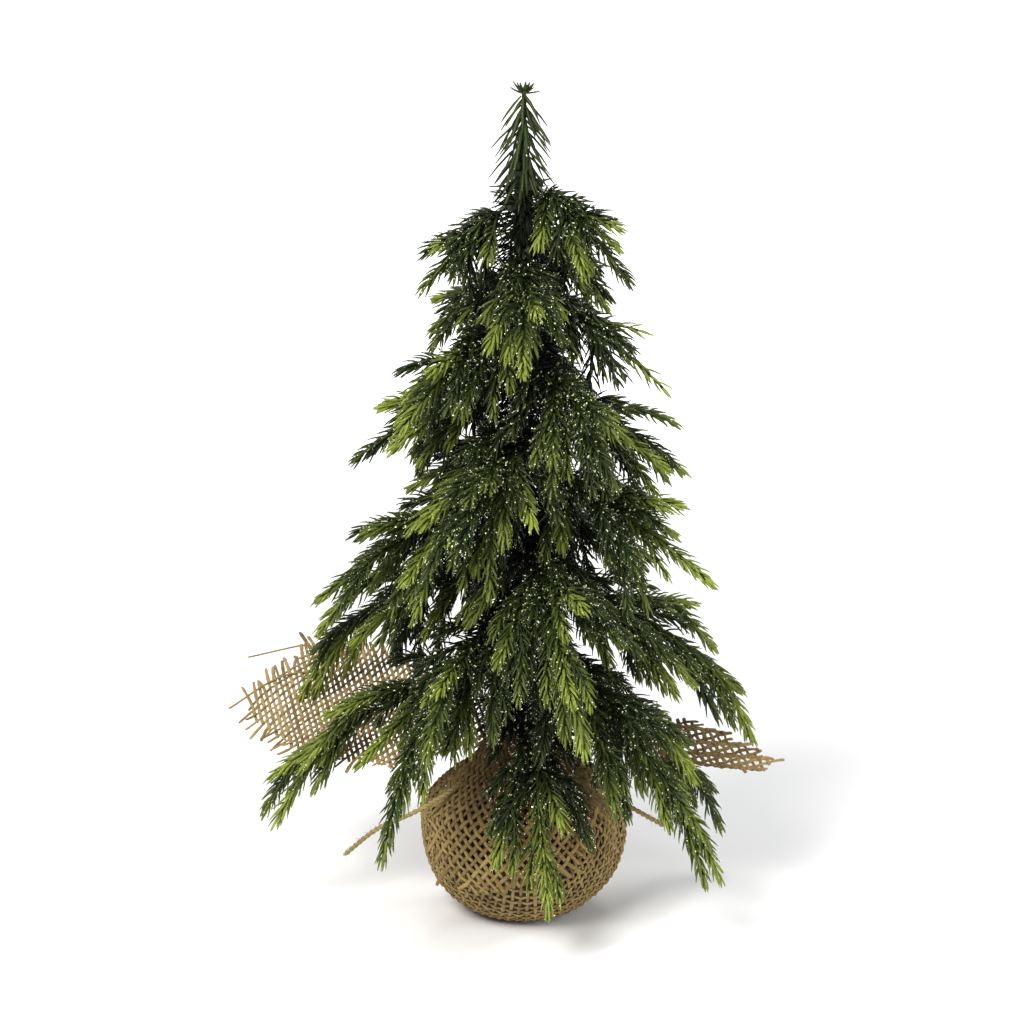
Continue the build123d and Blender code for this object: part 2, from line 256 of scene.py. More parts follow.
def needle_material():
    """Moulded polyethylene needles: painted shade toward the heart of the crown, mid green, bright new
    growth at the ends.
    """
    m = Nodes("needle_plastic")
    growth = m.attribute("growth")
    tone = m.attribute("tone")
    inner = m.attribute("inner")
    cool = m.attribute("cool")
    speck = m.noise(m.position(), 900.0, 2.0)
    patch = m.noise(m.position(), 60.0, 2.0)
    mixed = m.weighted((tone, 0.6), (patch, 0.4))
    old = m.ramp(mixed, (
        (0.15, (0.006, 0.010, 0.002)),
        (0.50, (0.032, 0.050, 0.007)),
        (0.85, (0.105, 0.145, 0.018)),
    ))
    cooled = m.mix(cool, old, (0.007, 0.017, 0.007))
    fresh = m.ramp(m.weighted((tone, 0.5), (speck, 0.5)), (
        (0.25, (0.128, 0.180, 0.018)),
        (0.75, (0.310, 0.370, 0.056)),
    ))
    coloured = m.mix(growth, cooled, fresh)
    # painted shade: needles darken to near black by their painted shade value, deepest toward the crown's
    # heart
    shaded = m.mix(inner, coloured, (0.002, 0.003, 0.0005))
    rough = m.scaled(speck, 0.25, 0.33)
    m.set(Base_Color=shaded, Roughness=rough, Specular_IOR_Level=0.24)
    m.bump(speck, 0.35, 0.0002)
    return m.material


def glitter_material():
    """Flakes of pale gold glitter stuck on the needles."""
    m = Nodes("glitter_flakes")
    tone = m.attribute("tone")
    grain = m.noise(m.position(), 2500.0, 1.0)
    colour = m.ramp(m.weighted((tone, 0.8), (grain, 0.2)), (
        (0.1, (0.60, 0.66, 0.28)),
        (0.5, (0.90, 0.88, 0.56)),
        (0.9, (1.00, 0.96, 0.86)),
    ))
    m.set(Base_Color=colour, Roughness=m.scaled(grain, 0.2, 0.18), Metallic=0.15)
    return m.material


def jute_material(name, dark, light, lift):
    """Jute yarn: fibres twisted round the yarn, uneven colour, fuzzy dull surface, darkened by painted
    shade where its shade value is set.
    """
    m = Nodes(name)
    tone = m.attribute("tone")
    along = m.attribute("along")
    around = m.attribute("around")
    place = m.node("ShaderNodeCombineXYZ", {
        "X": m.math("MULTIPLY", along, 0.35),
        "Y": m.weighted((around, 6.0), (along, 2.4)),
        "Z": m.math("MULTIPLY", tone, 50.0),
    })
    fibre = m.noise(place.outputs["Vector"], 1.0, 3.0, 0.6)
    blotch = m.noise(m.position(), 110.0, 3.0)
    value = m.weighted((fibre, 0.5), (tone, 0.28), (blotch, 0.35))
    colour = m.ramp(value, (
        (0.30, dark),
        (0.55, tuple((a + b) / 2.0 for a, b in zip(dark, light))),
        (0.85, light),
    ))
    # painted shade: the shade value darkens the yarn toward dark brown
    darker = m.mix(m.attribute("shade"), colour, (0.062, 0.030, 0.012))
    m.set(Base_Color=darker, Roughness=m.scaled(fibre, 0.1, 0.82), Specular_IOR_Level=0.2)
    m.set(Sheen_Weight=lift, Sheen_Roughness=0.6)
    m.bump(fibre, 0.7, 0.0003)
    return m.material


def plain_material(name, low, high, scale, roughness, bump, metallic=0.0, stretch=(1.0, 1.0, 1.0)):
    """Uneven hard surface: colour mottling, roughness variation and fine bump."""
    m = Nodes(name)
    mapping = m.node("ShaderNodeMapping", {"Vector": m.position()})
    mapping.inputs["Scale"].default_value = stretch
    broad = m.noise(mapping.outputs["Vector"], scale, 4.0)
    fine = m.noise(mapping.outputs["Vector"], scale * 9.0, 2.0)
    both = m.weighted((broad, 0.65), (fine, 0.35))
    m.set(Base_Color=m.ramp(both, ((0.3, low), (0.7, high))))
    m.set(Roughness=m.scaled(fine, 0.2, roughness - 0.1), Metallic=metallic)
    m.bump(both, bump, 0.0003)
    return m.material


# rise of the tape in one turn, in metres
TAPE_LEAD = 0.009


def tape_material():
    """Crepe tape wound up the trunk, seen as slanting bands."""
    m = Nodes("wound_tape")
    parts = m.node("ShaderNodeSeparateXYZ", {"Vector": m.position()})
    turn = m.math("ARCTAN2", parts.outputs["Y"], parts.outputs["X"])
    rise = m.math("MULTIPLY", parts.outputs["Z"], 1.0 / TAPE_LEAD)
    phase = m.math("FRACT", m.math("ADD", rise, m.math("MULTIPLY", turn, 1.0 / (2.0 * math.pi))))
    crepe = m.noise(m.position(), 700.0, 4.0, 0.65)
    value = m.weighted((phase, 0.5), (crepe, 0.5))
    m.set(Base_Color=m.ramp(value, ((0.2, (0.012, 0.016, 0.008)), (0.8, (0.045, 0.050, 0.022)))))
    m.set(Roughness=m.scaled(crepe, 0.2, 0.6))
    m.bump(value, 0.6, 0.0005)
    return m.material


NEEDLES = needle_material()
GLITTER = glitter_material()
BURLAP = jute_material("burlap_yarn", (0.094, 0.053, 0.013), (0.420, 0.300, 0.112), 0.06)
JUTE = jute_material("jute_twine", (0.120, 0.080, 0.026), (0.420, 0.330, 0.140), 0.08)

# ---- needles

NEEDLE_VALUES = ("growth", "tone", "inner", "cool")
NEEDLE_RINGS = np.array([0.0, 0.3, 0.62, 0.88])
NEEDLE_WIDTHS = np.array([0.62, 1.0, 0.86, 0.5])
NEEDLE_SIDES = 4


def add_needles(piece, base, direction, bend, length, width, thickness, slot=0, **values):
    """Flattened spikes, one per row: each curves by the bend vector and ends in a point."""
    count = len(base)
    direction = unit(direction)
    side = unit(np.cross(direction, bend))
    face = unit(np.cross(side, direction))
    length = np.broadcast_to(length, (count,))
    u = NEEDLE_RINGS[None, :, None]
    run = length[:, None, None]
    spine = base[:, None, :] + direction[:, None, :] * run * u + bend[:, None, :] * run * u * u
    width = np.broadcast_to(width, (count,))[:, None, None]
    thickness = np.broadcast_to(thickness, (count,))[:, None, None]
    wide = NEEDLE_WIDTHS[None, :, None] * width * side[:, None, :]
    deep = NEEDLE_WIDTHS[None, :, None] * thickness * face[:, None, :]
    corners = np.stack([spine + wide, spine + deep, spine - wide, spine - deep], axis=2)
    tip = base + direction * length[:, None] + bend * length[:, None]
    rings = len(NEEDLE_RINGS)
    per = rings * NEEDLE_SIDES + 1
    vertices = np.concatenate([corners.reshape(count, -1, 3), tip[:, None, :]], axis=1)
    starts = np.arange(count)[:, None, None] * per
    quads = tube_faces(rings, NEEDLE_SIDES)[None] + starts
    last = (rings - 1) * NEEDLE_SIDES
    ends = np.array([[last + k, last + (k + 1) % NEEDLE_SIDES, per - 1] for k in range(NEEDLE_SIDES)])
    tips = ends[None] + starts
    spread = {name: np.repeat(np.broadcast_to(v, (count,)), per) for name, v in values.items()}
    piece.add(vertices, [quads.reshape(-1, 4), tips.reshape(-1, 3)], slot, **spread)
    return spine[:, 2, :], face


FLAKE_RADIUS = (0.12, 0.25)
FLAKE_TILT = 0.7
FLAKE_LIFT = 0.35
FLAKE_SIDES = 6


def add_glitter(piece, places, facing, rng, slot=1):
    """Six-sided flakes lying loosely on the needles."""
    count = len(places)
    if count == 0:
        return
    normal = unit(facing + rng.normal(0.0, FLAKE_TILT, (count, 3)))
    across = unit(np.cross(normal, rng.normal(0.0, 1.0, (count, 3))))
    other = np.cross(normal, across)
    size = rng.uniform(*FLAKE_RADIUS, count)[:, None, None]
    angle = np.arange(FLAKE_SIDES) * 2.0 * math.pi / FLAKE_SIDES
    rim = np.cos(angle)[None, :, None] * across[:, None, :]
    rim = rim + np.sin(angle)[None, :, None] * other[:, None, :]
    vertices = places[:, None, :] + rim * size + normal[:, None, :] * FLAKE_LIFT
    faces = np.arange(count * FLAKE_SIDES).reshape(-1, FLAKE_SIDES)
    piece.add(vertices.reshape(-1, 3), [faces], slot, tone=np.repeat(rng.random(count), FLAKE_SIDES))


def smooth_step(low, high, value):
    """Rises smoothly from 0 at low to 1 at high."""
    t = np.clip((value - low) / (high - low), 0.0, 1.0)
    return t * t * (3.0 - 2.0 * t)


def turned_aside(onward, turn):
    """Direction square to onward: level at turn 0, upright a quarter turn on."""
    level = unit(np.cross(onward, UP))
    above = np.cross(level, onward)
    return math.cos(turn) * level + math.sin(turn) * above


class Stem:
    """Centre line of a sprig as a quadratic in distance from its root.

    Needles start at the distance back before the root, on the wire that carries the sprig.
    """

    def __init__(self, coefficients, length, back=0.0):
        self.coefficients = coefficients
        self.length = length
        self.back = back

    def at(self, distance):
        t = np.asarray(distance, float)[:, None] / self.length
        a, b, c = self.coefficients
        point = a + b * t + c * t * t
        onward = unit(b + 2.0 * c * t)
        return point, onward

    def one(self, distance):
        """Point and direction at a single distance."""
        point, onward = self.at([distance])
        return point[0], onward[0]


def needle_directions(onward, around, open_angle):
    """Outward directions round a stem, and those of its needles."""
    side, normal = stem_sides(onward)
    outward = tilted(normal, side, around)
    return outward, tilted(outward, onward, open_angle)


def painted_heart_shade(base, direction, size, most):
    """How much painted shade needles take toward the crown's heart, by how far out in the crown they reach.
    """
    reach = base + direction * size[:, None] * 0.6
    share = np.hypot(reach[:, 0], reach[:, 1]) / np.interp(reach[:, 2], CROWN_HEIGHTS, CROWN_RADII)
    return most * (1.0 - smooth_step(*HEART_SHARES, share))


def dress(piece, stem, style, rng):
    """Stem tube, needles and glitter of one sprig, with painted shadow on the stem and painted shade on the
    needles.
    """
    length, back = stem.length, stem.back
    along = np.linspace(-back, length, STEM_STEPS)
    points = stem.at(along)[0]
    radius = np.interp(along, (-back, 0.0, length), STEM_RADII)
    # painted shadow on the stem, deepest at its root
    shadow = 0.35 + 0.4 * (1.0 - np.clip(along / length, 0, 1))
    piece.add_tube(points, UP, radius, radius, 6, (), tone=0.3, inner=shadow)
    count = int((length + back) / style["spacing"])
    order = np.arange(count)
    distance = -back + (order + rng.uniform(-0.3, 0.3, count)) * style["spacing"]
    distance = np.minimum(distance, length - 0.5)
    u = np.clip(distance / length, 0.0, 1.0)
    centre, onward = stem.at(distance)
    around = order * GOLDEN + rng.normal(0.0, 0.2, count)
    around = around - style["flatten"] * np.sin(2.0 * around)
    open_angle = np.radians(np.interp(u, OPENING_PLACES, OPENING_DEGREES)) + rng.normal(0.0, 0.10, count)
    radial, direction = needle_directions(onward, around, open_angle)
    bend = 0.24 * onward - 0.12 * radial + rng.normal(0.0, 0.04, (count, 3)) - NEEDLE_DROOP * UP
    size = style["needle"] * np.interp(u, (0.0, 0.15, 0.7, 1.0), (0.85, 1.0, 0.95, 0.62))
    size = size * rng.uniform(0.82, 1.12, count)
    base = centre + radial * 0.5
    # painted shade toward the crown's heart, which also dims the bright new growth
    inner = painted_heart_shade(base, direction, size, 0.92) * rng.uniform(0.7, 1.0, count)
    growth = style["growth"] * smooth_step(style["growth_from"], style["growth_full"], u)
    growth = growth * rng.uniform(0.75, 1.0, count) + style["light"] * rng.uniform(0.5, 1.0, count)
    tone = np.clip(style["tone"] + rng.normal(0.0, 0.16, count), 0.0, 1.0)
    cool = style["cool"] * rng.uniform(0.5, 1.0, count)
    width = NEEDLE_HALF_WIDTH * rng.uniform(0.85, 1.15, count)
    middle, face = add_needles(
        piece, base, direction, bend, size, width, NEEDLE_HALF_THICKNESS,
        growth=np.clip(growth, 0.0, 1.0) * (1.0 - 0.6 * inner), tone=tone, inner=inner, cool=cool,
    )
    for _ in range(GLITTER_LAYERS):
        picked = rng.random(count) < style["glitter"]
        slide = rng.uniform(-0.35, 0.40, picked.sum())[:, None] * size[picked][:, None]
        places = middle[picked] + direction[picked] * slide + radial[picked] * 0.15
        add_glitter(piece, places, radial[picked] * 0.8 + face[picked], rng)


# ---- sprigs read off the frame


def loose_parts(node):
    """Vertex positions (mm) of each separate solid in a CAD node."""
    mesh = frame["nodes"][node].data
    co = np.array([v.co for v in mesh.vertices], float) / MM
    keys, index = np.unique(np.round(co, 3), axis=0, return_inverse=True)
    index = index.ravel()
    label = np.arange(len(keys))
    edges = np.array([e.vertices[:] for e in mesh.edges])
    a, b = index[edges[:, 0]], index[edges[:, 1]]
    while True:
        low = np.minimum(label[a], label[b])
        before = label.copy()
        np.minimum.at(label, a, low)
        np.minimum.at(label, b, low)
        label = label[label]
        if (label == before).all():
            break
    return [keys[label == name] for name in np.unique(label)]


def fit_stem(points, pivot, back):
    """Centre line through the vertices of one stem; its root is the end nearer the pivot."""
    gap = np.linalg.norm(points - pivot, axis=1)
    tip = points[gap > gap.max() - 0.8].mean(0)
    root_gap = gap.min()
    root = points[gap < root_gap + 1.6].mean(0)
    chord = tip - root
    length = np.linalg.norm(chord)
    t = (points - root) @ chord / length ** 2
    columns = np.stack([np.ones_like(t), t, t * t], axis=1)
    coefficients = np.linalg.lstsq(columns, points, rcond=None)[0]
    return Stem(coefficients, length, back)


def inner_stem(pivot, outer):
    """Wire from the trunk to the root of the end sprig, as the arc that meets it smoothly."""
    root, onward = outer.one(0.0)
    chord = root - pivot
    length = np.linalg.norm(chord)
    first = 2.0 * chord - onward * length
    return Stem((pivot, first, chord - first), length)


# ---- sprig styles

STEM_STEPS = 14
# stem radius at its back end, its root and its tip
STEM_RADII = (0.75, 0.9, 0.4)
# angle between needles and stem along a sprig, from its root (0) to its tip (1)
OPENING_PLACES = (0.0, 0.5, 0.85, 1.0)
OPENING_DEGREES = (48.0, 41.0, 33.0, 12.0)
NEEDLE_DROOP = 0.10
# the crown's radius by height, and the shares of it between which the painted shade of the crown's heart
# fades out
CROWN_HEIGHTS = (20.0, 60.0, 100.0, 150.0, 235.0, 290.0)
CROWN_RADII = (70.0, 86.0, 84.0, 72.0, 40.0, 14.0)
HEART_SHARES = (0.20, 0.72)

# growth: share of bright new plastic, rising from growth_from to growth_full along the sprig
STYLES = {
    "bright": dict(
        growth=1.0, growth_from=0.30, growth_full=0.92, light=0.05, tone=0.55, cool=0.0, glitter=0.35,
    ),
    "fresh": dict(
        growth=0.8, growth_from=0.10, growth_full=0.85, light=0.14, tone=0.65, cool=0.0, glitter=0.30,
    ),
    "mid": dict(
        growth=0.5, growth_from=0.50, growth_full=0.98, light=0.02, tone=0.52, cool=0.1, glitter=0.60,
    ),
    "dark": dict(
        growth=0.2, growth_from=0.70, growth_full=1.0, light=0.0, tone=0.36, cool=0.4, glitter=0.75,
    ),
}
STYLE_ODDS = (("bright", 0.34), ("fresh", 0.20), ("mid", 0.24), ("dark", 0.22))

# branch numbers rise from the bottom of the tree to its top
SPARSE_BRANCHES = (20,)
SPARSE_SPACING = 2.6
SKIRT_BRANCHES = range(1, 10)
FIRST_TOP_BRANCH = 21
TOP_NEEDLES = 0.9
MIDDLE_BRANCHES = range(9, 17)
MIDDLE_STRETCH = 1.35
# lengths here and below are in mm
NEEDLE_LENGTH = 6.5
NEEDLE_SPACING = 0.50
NEEDLE_HALF_WIDTH = 0.58
NEEDLE_HALF_THICKNESS = 0.38
GLITTER_LAYERS = 8
SIDE_SPRIG_BACK = 5.0
WIRE_BARE = 4.0
WIRE_SPACING = NEEDLE_SPACING * 1.1
WIRE_GLITTER = 0.22

TWIGLETS = 9
TWIGLET_LENGTHS = (16.0, 26.0)
TWIGLET_DROOP = 0.42
TWIGLET_SHORTENS = (190.0, 225.0)
TWIGLET_TOP_SHARE = 0.62

SHOOT_LENGTHS = (14.0, 22.0)
SHOOT_SPACING = 13.0
SHOOT_DROOP = 0.30
SHOOT_SPAN = 0.66

SKIRT_RADIUS = 49.0
SKIRT_LENGTHS = (26.0, 38.0)
SKIRT_FLOOR = 17.0
SKIRT_DROP_SHARE = 0.88
MAIN_SKIRT_PLACES = (0.25, 0.5, 0.72)
SIDE_SKIRT_PLACES = (0.55,)


def pick_style(rng, sparse):
    """Draws one of the styles and varies its needles a little."""
    roll = rng.random()
    for name, odds in STYLE_ODDS:
        if roll < odds:
            break
        roll -= odds
    style = dict(STYLES[name])
    style["needle"] = NEEDLE_LENGTH * rng.uniform(0.92, 1.1)
    style["spacing"] = NEEDLE_SPACING * (SPARSE_SPACING if sparse else 1.0)
    style["flatten"] = rng.uniform(0.15, 0.35)
    return style


def build_branch(number):
    """Foliage of one branch: all its sprigs, and dark needles along its wire, all with painted shade toward
    the crown's heart.
    """
    label = "%02d" % number
    rng = np.random.default_rng(SEED * 100 + number)
    joint = next(j for j in frame["joints"] if j["name"] == "bend_" + label)
    pivot = np.array(joint["pos_m"]) / MM
    piece = Piece(NEEDLE_VALUES)
    parts = loose_parts("sprigs_" + label)
    parts.sort(key=lambda p: -np.linalg.norm(p - pivot, axis=1).max())
    main = fit_stem(parts[0], pivot, 0.0)
    sparse = number in SPARSE_BRANCHES
    for order, points in enumerate(parts):
        stem = main if order == 0 else fit_stem(points, pivot, SIDE_SPRIG_BACK)
        style = pick_style(rng, sparse)
        if number >= FIRST_TOP_BRANCH:
            style["needle"] *= TOP_NEEDLES
        dress(piece, stem, style, rng)
        if not sparse and number < FIRST_TOP_BRANCH:
            stretch = MIDDLE_STRETCH if number in MIDDLE_BRANCHES else 1.0
            add_shoots(piece, stem, style, rng, stretch)
        if number in SKIRT_BRANCHES:
            add_hanging_sprigs(piece, stem, order == 0, rng)
    wire = inner_stem(pivot, main)
    dress_wire(piece, wire, rng)
    add_twiglets(piece, wire, rng)
    piece.build("foliage_" + label, [NEEDLES, GLITTER], "branch_" + label, "needles", "sprigs_" + label)


def add_shoots(piece, sprig, style, rng, stretch):
    """Short side shoots moulded on a sprig, left and right of its stem in turn."""
    count = int(sprig.length * SHOOT_SPAN / SHOOT_SPACING)
    for shoot in range(count):
        distance = SHOOT_SPACING * (shoot + rng.uniform(0.2, 0.8))
        start, onward = sprig.one(distance)
        aside = turned_aside(onward, math.pi * shoot + rng.uniform(-0.7, 0.7))
        length = rng.uniform(*SHOOT_LENGTHS) * stretch
        go = unit(onward + aside * rng.uniform(0.4, 0.65))
        curl = (onward - go) * 0.35 - SHOOT_DROOP * UP
        stem = Stem((start, go * length, curl * length), length)
        small = dict(style)
        small.update(needle=style["needle"] * 0.85, spacing=NEEDLE_SPACING * 1.2)
        small.update(growth=style["growth"] * 0.7, growth_from=0.5)
        dress(piece, stem, small, rng)


def add_hanging_sprigs(piece, sprig, is_main, rng):
    """Long sprigs that hang off the lowest branches in front of the bag."""
    places = MAIN_SKIRT_PLACES if is_main else SIDE_SKIRT_PLACES
    for share in places:
        start, onward = sprig.one(share * sprig.length)
        radius = math.hypot(start[0], start[1])
        length = min(rng.uniform(*SKIRT_LENGTHS), (start[2] - SKIRT_FLOOR) / SKIRT_DROP_SHARE)
        style = pick_style(rng, False)
        aside = rng.uniform(-0.35, 0.35)
        if radius < SKIRT_RADIUS or length < SKIRT_LENGTHS[0] * 0.7:
            continue
        outward = np.array((start[0], start[1], 0.0)) / radius
        around = np.array((-outward[1], outward[0], 0.0))
        go = unit(onward + around * aside - 0.38 * UP)
        stem = Stem((start, go * length * 0.8, -0.26 * length * UP), length)
        dress(piece, stem, style, rng)


def add_twiglets(piece, wire, rng):
    """Short dark sprigs round the wire from the trunk, which fill the crown near the trunk, with painted
    shade toward its heart.
    """
    for twiglet in range(TWIGLETS):
        distance = wire.length * (0.15 + 0.8 * (twiglet + rng.random()) / TWIGLETS)
        start, onward = wire.one(distance)
        aside = turned_aside(onward, twiglet * GOLDEN + rng.random())
        length = rng.uniform(*TWIGLET_LENGTHS)
        length = length * np.interp(start[2], TWIGLET_SHORTENS, (1.0, TWIGLET_TOP_SHARE))
        go = unit(onward * rng.uniform(0.5, 1.0) + aside)
        stem = Stem((start, go * length, -TWIGLET_DROOP * length * UP), length)
        style = dict(STYLES["dark"])
        style.update(needle=NEEDLE_LENGTH, spacing=NEEDLE_SPACING * 1.25, flatten=0.1, growth=0.0)
        dress(piece, stem, style, rng)


def dress_wire(piece, wire, rng):
    """Dark needles all along the wire from the trunk, with no taper toward a tip, and painted shade toward
    the crown's heart.
    """
    count = int((wire.length - WIRE_BARE) / WIRE_SPACING)
    order = np.arange(count)
    centre, onward = wire.at(WIRE_BARE + order * WIRE_SPACING)
    around = order * GOLDEN + rng.normal(0.0, 0.2, count)
    open_angle = np.radians(58.0) + rng.normal(0.0, 0.12, count)
    radial, direction = needle_directions(onward, around, open_angle)
    bend = 0.2 * onward + rng.normal(0.0, 0.05, (count, 3))
    size = NEEDLE_LENGTH * 1.05 * rng.uniform(0.85, 1.12, count)
    base = centre + radial * 0.4
    # painted shade, deepest toward the crown's heart
    inner = painted_heart_shade(base, direction, size, 0.95)
    dark = STYLES["dark"]
    tone = np.clip(dark["tone"] + rng.normal(0.0, 0.15, count), 0.0, 1.0)
    middle, face = add_needles(
        piece, base, direction, bend, size, NEEDLE_HALF_WIDTH, NEEDLE_HALF_THICKNESS,
        tone=tone, inner=inner, cool=dark["cool"],
    )
    picked = rng.random(count) < WIRE_GLITTER
    add_glitter(piece, middle[picked], radial[picked] + face[picked], rng)


BRANCH_COUNT = sum(1 for name in frame["nodes"] if name.startswith("sprigs_"))
for branch_number in range(1, BRANCH_COUNT + 1):
    build_branch(branch_number)


# ---- leader and trunk needles

LEADER_NEEDLES = 74
LEADER_BASES = (268.0, 296.5)
LEADER_NEEDLE_LENGTH = 16.5
LEADER_STEM_SPAN = (266.0, 299.0)
LEADER_STEM_RADIUS = 0.8
WHORL_HEIGHT = 297.0
WHORL_NEEDLES = 15


def build_leader():
    """Upright shoot: long needles sweeping down from it and a small star at its tip."""
    rng = np.random.default_rng(SEED + 1)
    piece = Piece(NEEDLE_VALUES)
    heights = np.linspace(*LEADER_STEM_SPAN, 12)
    points = np.stack([0.25 * np.sin(heights / 9.0), 0.2 * np.cos(heights / 7.0), heights], axis=1)
    radius = np.interp(heights, (266.0, 296.0, 299.0), (1.15, 0.8, 0.7))
    tip_cap = (1,)
    # painted shade: a little on the leader's stem
    piece.add_tube(points, (0.0, 1.0, 0.0), radius, radius, 8, tip_cap, tone=0.35, inner=0.3, cool=0.2)
    order = np.arange(LEADER_NEEDLES)
    height = np.linspace(*LEADER_BASES, LEADER_NEEDLES)
    around = order * GOLDEN + rng.normal(0.0, 0.15, LEADER_NEEDLES)
    radial = spokes(around)
    lean = np.radians(rng.uniform(34.0, 56.0, LEADER_NEEDLES))
    direction = tilted(radial, -UP, lean)
    bend = -0.10 * (radial + UP) + rng.normal(0.0, 0.03, (LEADER_NEEDLES, 3))
    base = turned(LEADER_STEM_RADIUS, around, height)
    size = LEADER_NEEDLE_LENGTH * rng.uniform(0.8, 1.08, LEADER_NEEDLES)
    size = size * np.interp(height, (268.0, 290.0, 296.5), (1.0, 1.0, 0.7))
    tone = np.clip(rng.normal(0.42, 0.15, LEADER_NEEDLES), 0.0, 1.0)
    # painted shade: a trace on the leader's needles
    middle = add_needles(
        piece, base, direction, bend, size, 0.78, 0.40,
        growth=rng.uniform(0.0, 0.10, LEADER_NEEDLES), tone=tone, inner=0.08, cool=0.45,
    )[0]
    add_glitter(piece, middle[::4], radial[::4], rng)
    order = np.arange(WHORL_NEEDLES)
    around = order * GOLDEN
    rise = np.radians(np.interp(order, (0, WHORL_NEEDLES - 1), (4.0, 70.0)))
    radial = spokes(around)
    direction = tilted(UP, radial, rise)
    base = radial * 0.5 + WHORL_HEIGHT * UP
    bend = 0.08 * UP + rng.normal(0.0, 0.03, (WHORL_NEEDLES, 3))
    size = np.interp(order, (0, WHORL_NEEDLES - 1), (6.6, 3.6)) * rng.uniform(0.85, 1.1, WHORL_NEEDLES)
    # painted shade: a trace on the star's needles
    add_needles(piece, base, direction, bend, size, 0.6, 0.32, growth=0.02, tone=0.42, inner=0.1, cool=0.55)
    piece.build("leader_foliage", [NEEDLES, GLITTER], "leader", "needles", "leader_sprig")


TRUNK_NEEDLES = 2100
TRUNK_NEEDLE_SPAN = (74.0, 266.0)
TRUNK_SKIN_RADIUS = 2.9
TRUNK_GLITTER = 0.12


def build_trunk_needles():
    """Dark needles bound in with the trunk tape, which fill the heart of the crown, with heavy painted
    shade.
    """
    rng = np.random.default_rng(SEED + 2)
    piece = Piece(NEEDLE_VALUES)
    order = np.arange(TRUNK_NEEDLES)
    height = np.linspace(*TRUNK_NEEDLE_SPAN, TRUNK_NEEDLES)
    around = order * GOLDEN + rng.normal(0.0, 0.3, TRUNK_NEEDLES)
    radial = spokes(around)
    rise = np.radians(rng.uniform(-50.0, 20.0, TRUNK_NEEDLES))
    direction = tilted(UP, radial, rise)
    bend = -0.15 * UP + rng.normal(0.0, 0.06, (TRUNK_NEEDLES, 3))
    base = turned(TRUNK_SKIN_RADIUS, around, height)
    reach = np.interp(height, (74.0, 200.0, 266.0), (19.0, 17.0, 10.0))
    size = reach * rng.uniform(0.7, 1.1, TRUNK_NEEDLES)
    tone = np.clip(rng.normal(0.3, 0.15, TRUNK_NEEDLES), 0.0, 1.0)
    # heavy painted shade on every trunk needle
    middle = add_needles(
        piece, base, direction, bend, size, 0.5, 0.28,
        tone=tone, inner=rng.uniform(0.55, 0.95, TRUNK_NEEDLES), cool=0.4,
    )[0]
    picked = rng.random(TRUNK_NEEDLES) < TRUNK_GLITTER
    add_glitter(piece, middle[picked], radial[picked], rng)
    piece.build("trunk_needles", [NEEDLES, GLITTER], "trunk", "needles")


build_leader()
build_trunk_needles()

# ---- burlap

JUTE_VALUES = ("tone", "along", "around", "shade")
YARN_SIDES = 6
NO_FRAY = ((0.0, 0.0), (0.0, 0.0))
BOWL_POINTS = ((16.0, 0.0), (29.5, 9.5), (37.0, 30.0))


def circle_through(points):
    """Centre and radius of the circle through three (radius, height) points."""
    (x1, z1), (x2, z2), (x3, z3) = points
    d = 2.0 * (x1 * (z2 - z3) + x2 * (z3 - z1) + x3 * (z1 - z2))
    s1, s2, s3 = x1 * x1 + z1 * z1, x2 * x2 + z2 * z2, x3 * x3 + z3 * z3
    x = (s1 * (z2 - z3) + s2 * (z3 - z1) + s3 * (z1 - z2)) / d
    z = (s1 * (x3 - x2) + s2 * (x1 - x3) + s3 * (x2 - x1)) / d
    return x, z, math.hypot(x1 - x, z1 - z)


def bowl_run(inset, low, high, count=24):
    """(radius, height) points up the bowl between two heights."""
    x, z, radius = circle_through(BOWL_POINTS)
    heights = np.linspace(low, high, count)
    return np.stack([x + np.sqrt((radius - inset) ** 2 - (heights - z) ** 2), heights], axis=1)


class Profile:
    """A smoothed (radius, height) line that is swept round the trunk's axis."""

    def __init__(self, corners, smoothing):
        corners = np.asarray(corners, float)
        steps = run_lengths(corners)
        line = sample_rows(np.arange(0.0, steps[-1], 0.5), steps, corners)
        window = int(smoothing / 0.5)
        padded = np.vstack([np.repeat(line[:1], window, 0), line, np.repeat(line[-1:], window, 0)])
        kernel = np.ones(2 * window + 1) / (2 * window + 1)
        self.line = np.stack([np.convolve(column, kernel, "valid") for column in padded.T], axis=1)
        self.distance = run_lengths(self.line)
        slope = unit(np.gradient(self.line, axis=0))
        self.out = np.stack([slope[:, 1], -slope[:, 0]], axis=1)

    def swept(self, distance, turn, push):
        """Points at distances along the line and turns about the axis, pushed outward."""
        point = sample_rows(distance, self.distance, self.line)
        point = point + sample_rows(distance, self.distance, self.out) * push[..., None]
        return turned(point[..., 0], turn, point[..., 1])


BAG_PROFILE = Profile(
    np.vstack([
        [(0.0, 0.75), (16.0, 0.75)],
        bowl_run(0.6, 1.0, 30.0),
        [(36.4, 40.0), (30.0, 46.0), (12.5, 59.0), (11.2, 66.0)],
    ]),
    2.5,
)
FOLD_PROFILE = Profile(
    np.vstack([[(11.8, 70.0), (13.5, 70.2), (38.7, 42.5)], bowl_run(-1.7, 14.0, 32.0)[::-1]]),
    2.5,
)


